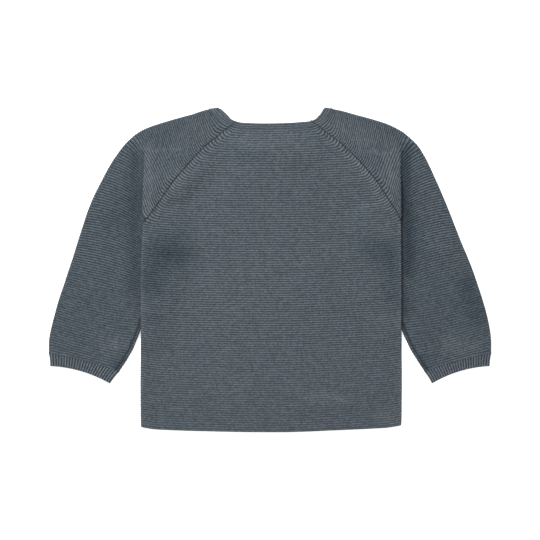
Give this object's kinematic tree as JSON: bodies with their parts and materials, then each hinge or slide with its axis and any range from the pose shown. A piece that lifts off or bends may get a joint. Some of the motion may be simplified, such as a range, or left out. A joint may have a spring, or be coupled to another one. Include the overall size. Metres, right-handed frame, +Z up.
{
  "type": "baby cardigan laid flat",
  "caption": "Fine garter-stitch baby cardigan with raglan sleeves and ribbed cuffs, lying flat on its buttoned fronts with the back up.",
  "frame": {"origin": "middle of the garment's outline, on the surface it lies on", "axes": "+X across the garment from the wearer's left sleeve to the right one, +Y from the hem up to the neck, +Z up from the surface"},
  "size_m": [0.41, 0.2998, 0.0074],
  "materials": {
    "garter_knit": "matte fine-gauge garter stitch in slate blue-grey yarn",
    "rib_knit": "matte one-and-one rib in the same yarn",
    "band_knit": "matte narrow knitted band in the same yarn",
    "buttons": "satin moulded resin in a darker slate"
  },
  "bodies": {
    "root": {"back": "garter_knit", "front_left": "garter_knit", "front_right": "garter_knit", "sleeve_left": "garter_knit", "sleeve_right": "garter_knit", "cuff_left": "rib_knit", "cuff_right": "rib_knit", "neckband": "band_knit", "button_1": "buttons", "button_2": "buttons", "button_3": "buttons", "button_4": "buttons", "button_5": "buttons"}
  },
  "joints": []
}
